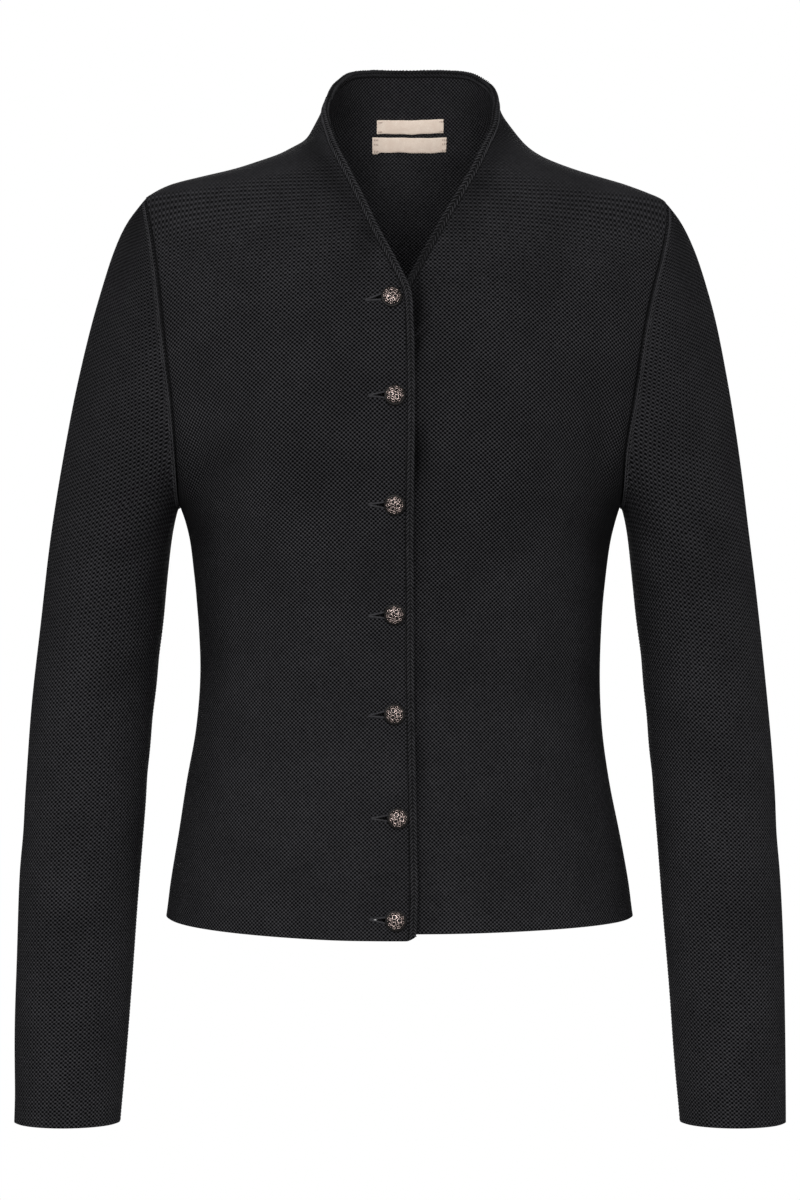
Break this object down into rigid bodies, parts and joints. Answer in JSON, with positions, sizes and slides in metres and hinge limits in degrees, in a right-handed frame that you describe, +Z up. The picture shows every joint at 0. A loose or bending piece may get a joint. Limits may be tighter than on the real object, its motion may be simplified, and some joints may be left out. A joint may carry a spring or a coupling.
{
  "type": "trachten cardigan",
  "caption": "Fitted women's trachten cardigan in fine moss knit with a grown-on stand collar, V neck, edge bands, set-in sleeves and domed metal buttons.",
  "frame": {"origin": "on the centre line at the base of the neck, level with the tops of the shoulders, where the wearer's shoulders carry the garment", "axes": "+X to the wearer's left, -Y to the front, +Z up along the garment's length; +Y is its shortest way"},
  "size_m": [0.526, 0.2186, 0.7284],
  "materials": {
    "knit": "matt charcoal-black moss knit",
    "edge_band": "matt charcoal-black smooth knit band",
    "button_metal": "antiqued rose-silver relief over black",
    "label_cloth": "plain cream woven tape"
  },
  "bodies": {
    "root": {"front_right": "knit", "front_left": "knit", "back": "knit", "sleeve_right": "knit", "sleeve_left": "knit", "edge_band_right": "edge_band", "edge_band_left": "edge_band", "edge_band_neck": "edge_band", "button_1": "button_metal", "button_2": "button_metal", "button_3": "button_metal", "button_4": "button_metal", "button_5": "button_metal", "button_6": "button_metal", "button_7": "button_metal", "label_upper": "label_cloth", "label_lower": "label_cloth"}
  },
  "joints": []
}
